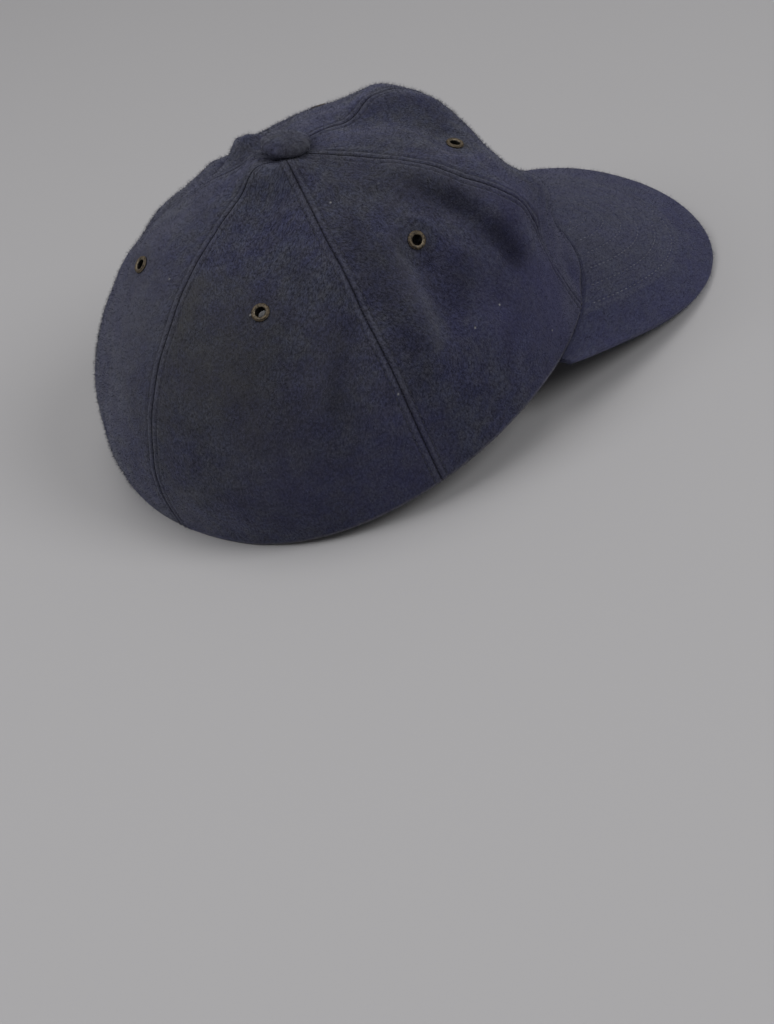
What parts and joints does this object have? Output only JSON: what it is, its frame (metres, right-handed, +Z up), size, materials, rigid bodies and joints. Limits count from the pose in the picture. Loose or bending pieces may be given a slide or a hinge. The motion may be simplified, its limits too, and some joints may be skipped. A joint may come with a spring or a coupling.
{
  "type": "felt baseball cap",
  "caption": "Soft felt cap with a panelled dented crown, a cloth-covered top button, brass vent eyelets and a curved stitched visor, resting rim down on its back edge and visor.",
  "frame": {"origin": "middle of the bounding box on the floor the cap rests on", "axes": "+Z up, -Y toward the visor, +X toward the wearer's left"},
  "size_m": [0.1742, 0.2634, 0.1114],
  "materials": {
    "crown_felt": "brushed wool felt",
    "visor_felt": "brushed wool felt over board",
    "button_felt": "felt covered",
    "brass": "worn, tarnished"
  },
  "bodies": {
    "root": {"panel_front_right": "crown_felt", "panel_front_left": "crown_felt", "panel_side_right": "crown_felt", "panel_side_left": "crown_felt", "panel_back_right": "crown_felt", "panel_back_left": "crown_felt", "visor": "visor_felt", "button": "button_felt", "eyelet_front_right": "brass", "eyelet_front_left": "brass", "eyelet_side_right": "brass", "eyelet_side_left": "brass", "eyelet_back_right": "brass", "eyelet_back_left": "brass"}
  },
  "joints": []
}
